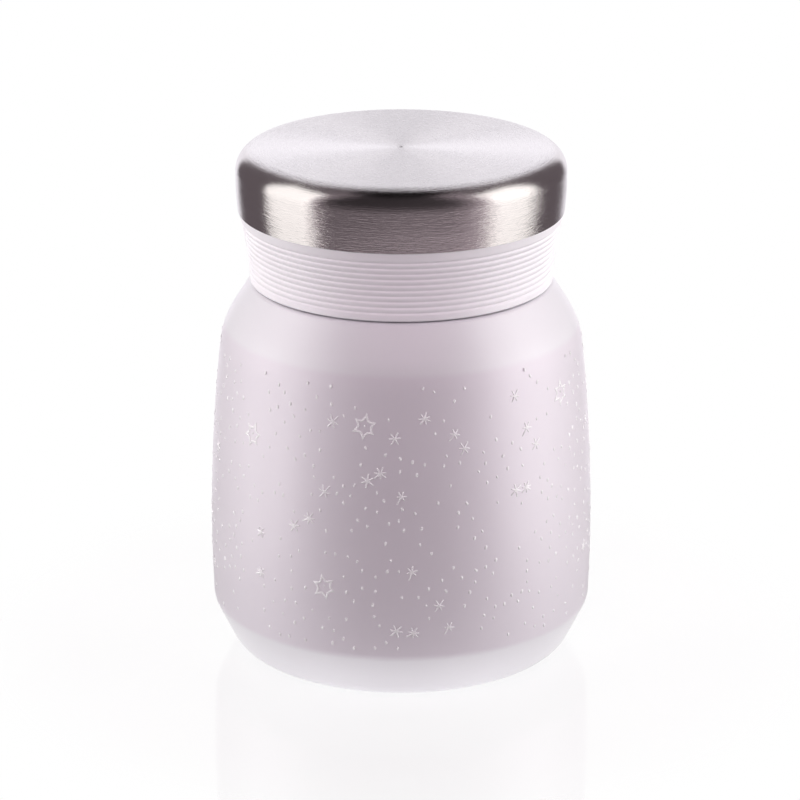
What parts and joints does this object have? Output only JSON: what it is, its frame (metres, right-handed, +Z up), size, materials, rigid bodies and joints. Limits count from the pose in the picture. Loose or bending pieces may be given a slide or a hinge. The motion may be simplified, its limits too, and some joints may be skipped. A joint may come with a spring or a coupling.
{
  "type": "insulated food jar",
  "caption": "Short round double-walled steel food jar with a ribbed screw lid under a brushed steel cap, an insulated plug and a silicone seal.",
  "frame": {"origin": "centre of the foot ring, on the table", "axes": "+Z up, along the axis on which the jar and its lid are turned"},
  "size_m": [0.0898, 0.0898, 0.121],
  "materials": {
    "lilac_coat": "satin powder coat",
    "plain_steel": "satin",
    "solder_glass": "glazed",
    "getter_metal": "pressed powder",
    "copper_foil": "bright",
    "silicone": "satin",
    "collar_plastic": "matte",
    "inner_plastic": "satin",
    "brushed_cap": "brushed",
    "bonding_foam": "matte",
    "white_foam": "expanded foam"
  },
  "bodies": {
    "vessel": {"outer_shell": "lilac_coat", "outer_bottom": "plain_steel", "base_cover": "plain_steel", "seal_bead": "solder_glass", "getter_tray": "plain_steel", "getter_pill": "getter_metal", "liner_wall": "plain_steel", "liner_bottom": "plain_steel", "radiation_foil": "copper_foil", "neck_ring": "plain_steel"},
    "seal": {"lid_seal": "silicone"},
    "lid": {"grip_collar": "collar_plastic", "cap_core": "inner_plastic", "cap_shell": "brushed_cap", "bonding_pad": "bonding_foam", "insulation_foam": "white_foam", "plug_cup": "inner_plastic"}
  },
  "joints": [
    {"name": "lid_lift", "type": "slide", "parent": "vessel", "child": "seal", "axis": [0, 0, 1], "range_m": [0, 0.0361]},
    {"name": "lid_turn", "type": "hinge", "parent": "seal", "child": "lid", "pos_m": [0, 0, 0.1066], "axis": [0, 0, 1], "range_deg": [0, 1080]}
  ],
  "couplings": [
    {"joint": "lid_lift", "follows": "lid_turn", "m_per_rad": 0.0019099}
  ]
}
